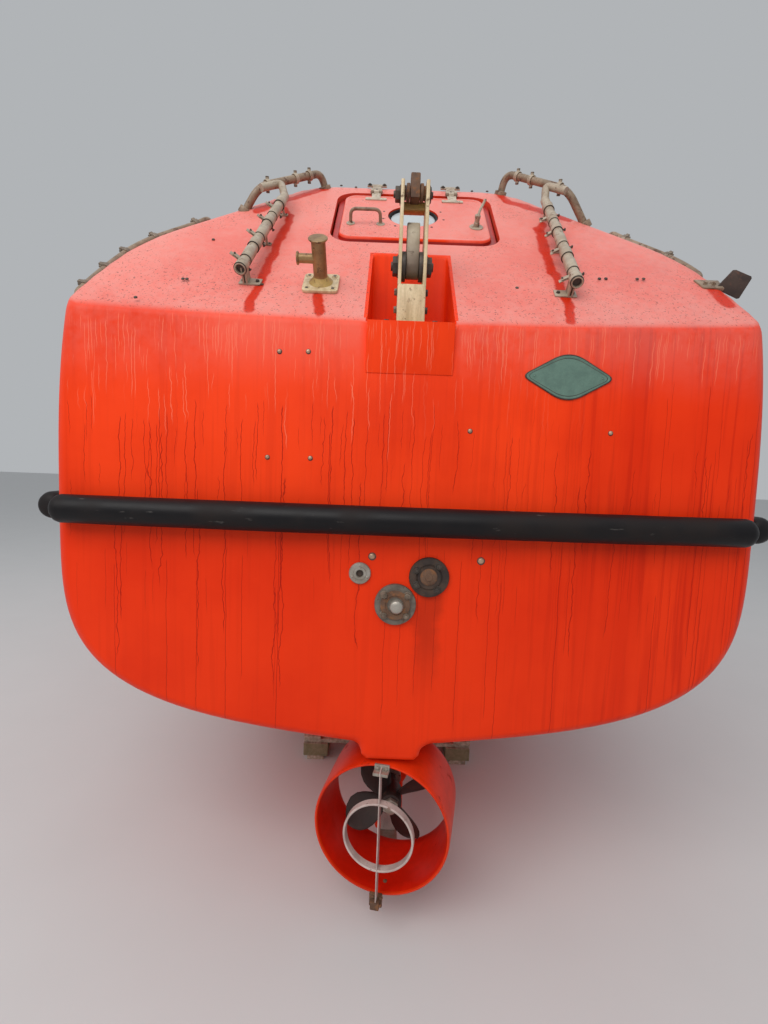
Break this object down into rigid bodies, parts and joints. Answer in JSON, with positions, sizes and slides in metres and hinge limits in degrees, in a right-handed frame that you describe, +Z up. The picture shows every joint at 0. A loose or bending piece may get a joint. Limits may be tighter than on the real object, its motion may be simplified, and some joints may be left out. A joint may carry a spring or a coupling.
{
  "type": "enclosed lifeboat",
  "caption": "Totally enclosed motor lifeboat with a steering nozzle, lifting hooks, hinged hatches and a helm cupola, standing on wooden pallets.",
  "frame": {"origin": "middle of the bounding box at the ground, under the keel", "axes": "+X to starboard, +Y forward to the bow, +Z up"},
  "size_m": [2.771, 7.3766, 3.6463],
  "materials": {
    "orange_laminate": "weathered glossy gelcoat with rain streaks and dirt",
    "cream_steel": "yellowed paint with rust",
    "bare_steel": "grey weathered steel",
    "flange_metal": "corroded bronze",
    "black_rubber": "matt weathered rubber",
    "clear_pane": "smooth",
    "engine_paint": "satin",
    "plate_green": "satin",
    "propeller_bronze": "dark and fouled",
    "pallet_wood": "grey weathered"
  },
  "bodies": {
    "boat": {"hull_shell": "orange_laminate", "canopy_shell": "orange_laminate", "keel_shoe": "bare_steel", "fender_transom": "black_rubber", "fender_side": "black_rubber", "seat_liner": "orange_laminate", "engine_block": "engine_paint", "cupola": "orange_laminate", "cupola_pane_forward": "clear_pane", "cupola_pane_aft": "clear_pane", "cupola_pane_port": "clear_pane", "cupola_pane_starboard": "clear_pane", "side_pane_port_aft": "clear_pane", "side_pane_port_forward": "clear_pane", "side_pane_starboard_aft": "clear_pane", "side_pane_starboard_forward": "clear_pane", "aft_bollard": "cream_steel", "fore_bollard": "cream_steel", "aft_hook": "cream_steel", "fore_hook": "cream_steel", "ladder_rail_port": "cream_steel", "ladder_rail_starboard": "cream_steel", "top_rail_port": "cream_steel", "side_rail_port": "cream_steel", "top_rail_starboard": "cream_steel", "side_rail_starboard": "cream_steel", "exhaust_flange": "flange_metal", "inlet_flange": "flange_metal", "drain_flange": "flange_metal", "corner_bracket": "bare_steel", "data_plate": "plate_green", "stern_tube": "bare_steel", "pallet_aft": "pallet_wood", "pallet_fore": "pallet_wood"},
    "nozzle": {"steering_nozzle": "orange_laminate", "nozzle_guard": "bare_steel"},
    "propeller": {"propeller": "propeller_bronze"},
    "aft_hatch": {"aft_hatch": "orange_laminate", "aft_hatch_pane": "clear_pane", "aft_hatch_handle": "cream_steel", "aft_hatch_lever": "cream_steel"},
    "fore_hatch": {"fore_hatch": "orange_laminate", "fore_hatch_handle": "cream_steel"},
    "side_hatch_port": {"side_hatch_port": "orange_laminate"},
    "side_hatch_starboard": {"side_hatch_starboard": "orange_laminate"},
    "cupola_lid": {"cupola_lid": "orange_laminate"},
    "aft_hook_tongue": {"aft_hook_tongue": "cream_steel"},
    "fore_hook_tongue": {"fore_hook_tongue": "cream_steel"}
  },
  "joints": [
    {"name": "propeller_spin", "type": "hinge", "parent": "boat", "child": "propeller", "pos_m": [0, -3.39574, 0.427], "axis": [0, 1, 0], "continuous": true},
    {"name": "nozzle_steering", "type": "hinge", "parent": "boat", "child": "nozzle", "pos_m": [0, -3.39574, 0.427], "axis": [0, 0, 1], "range_deg": [-23.5, 46.5]},
    {"name": "aft_hatch_hinge", "type": "hinge", "parent": "boat", "child": "aft_hatch", "pos_m": [0.02, -2.77974, 3.09573], "axis": [-1, 0, 0], "range_deg": [0, 110]},
    {"name": "fore_hatch_hinge", "type": "hinge", "parent": "boat", "child": "fore_hatch", "pos_m": [0, 2.33696, 2.83187], "axis": [1, 0, 0], "range_deg": [0, 110]},
    {"name": "side_hatch_port_hinge", "type": "hinge", "parent": "boat", "child": "side_hatch_port", "pos_m": [-1.23739, -0.39575, 2.383], "axis": [0, 1, 0], "range_deg": [0, 110]},
    {"name": "side_hatch_starboard_hinge", "type": "hinge", "parent": "boat", "child": "side_hatch_starboard", "pos_m": [1.23739, -0.39575, 2.383], "axis": [0, -1, 0], "range_deg": [0, 110]},
    {"name": "cupola_lid_hinge", "type": "hinge", "parent": "boat", "child": "cupola_lid", "pos_m": [0, -0.64775, 3.6373], "axis": [-1, 0, 0], "range_deg": [0, 110]},
    {"name": "aft_hook_release", "type": "hinge", "parent": "boat", "child": "aft_hook_tongue", "pos_m": [0, -3.46575, 2.4953], "axis": [1, 0, 0], "range_deg": [0, 60]},
    {"name": "fore_hook_release", "type": "hinge", "parent": "boat", "child": "fore_hook_tongue", "pos_m": [0, 3.10426, 2.3783], "axis": [-1, 0, 0], "range_deg": [0, 60]}
  ]
}
